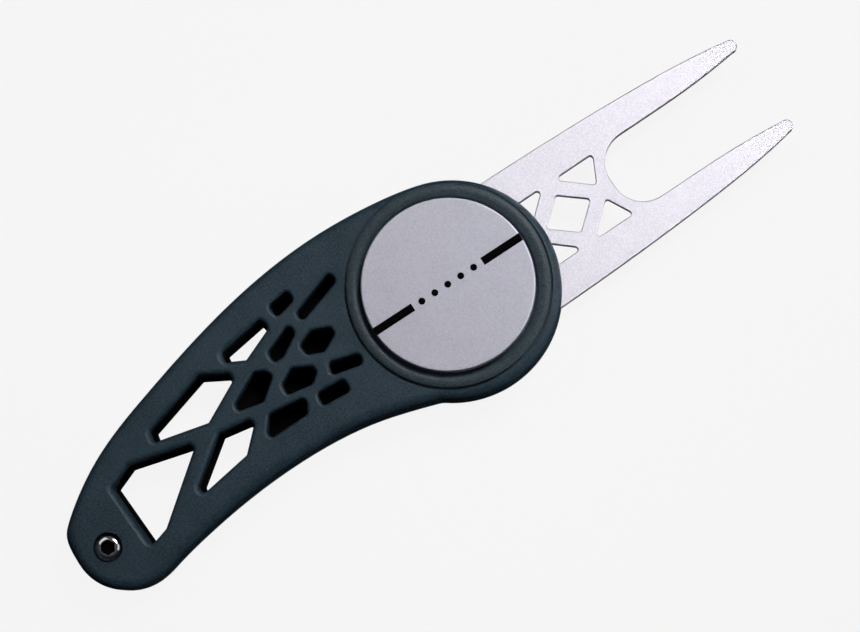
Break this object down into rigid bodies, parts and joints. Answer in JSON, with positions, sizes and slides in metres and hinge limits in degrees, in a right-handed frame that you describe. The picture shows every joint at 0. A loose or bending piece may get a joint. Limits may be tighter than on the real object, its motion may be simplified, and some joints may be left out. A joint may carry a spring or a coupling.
{
  "type": "folding divot repair tool",
  "caption": "Folding divot repair tool: a curved pierced handle with a round head holding a magnetic ball marker, and a steel two-tined fork that folds into the handle.",
  "frame": {"origin": "on the fork's pivot axis, in the plane of the flat back face that the tool rests on", "axes": "+Z out of the front face along the pivot axis, +X along the open fork towards its tips, +Y towards the bulging back of the handle, so the grip edge with the fork's slot faces -Y"},
  "size_m": [0.1201, 0.0334, 0.0095],
  "materials": {
    "cover_plastic": "soft-touch matt slate",
    "liner_black": "blackened, matt",
    "fork_steel": "bead-blasted satin",
    "marker_steel": "fine-grained satin nickel",
    "inlay_enamel": "black enamel, satin",
    "polished_steel": "polished",
    "hardware_steel": "plain turned",
    "insert_brass": "plain turned",
    "washer_bronze": "rolled phosphor bronze",
    "magnet_plating": "nickel plated"
  },
  "bodies": {
    "handle": {"front_cover": "cover_plastic", "back_cover": "cover_plastic", "back_liner": "liner_black", "pivot_sleeve": "hardware_steel", "pivot_screw": "hardware_steel", "pivot_insert": "insert_brass", "back_washer": "washer_bronze", "front_washer": "washer_bronze", "stop_pin": "hardware_steel", "detent_ball": "polished_steel", "dowel_pins": "hardware_steel", "magnet_cup": "hardware_steel", "marker_magnet": "magnet_plating", "tail_screw": "polished_steel", "tail_insert": "insert_brass"},
    "fork": {"fork": "fork_steel"},
    "marker": {"ball_marker": "marker_steel", "marker_inlay": "inlay_enamel"}
  },
  "joints": [
    {"name": "fork_hinge", "type": "hinge", "parent": "handle", "child": "fork", "pos_m": [0, 0, 0.0041], "axis": [0, 0, 1], "range_deg": [-178, 0]},
    {"name": "marker_lift", "type": "slide", "parent": "handle", "child": "marker", "axis": [0, 0, 1], "range_m": [0, 0.015]}
  ]
}
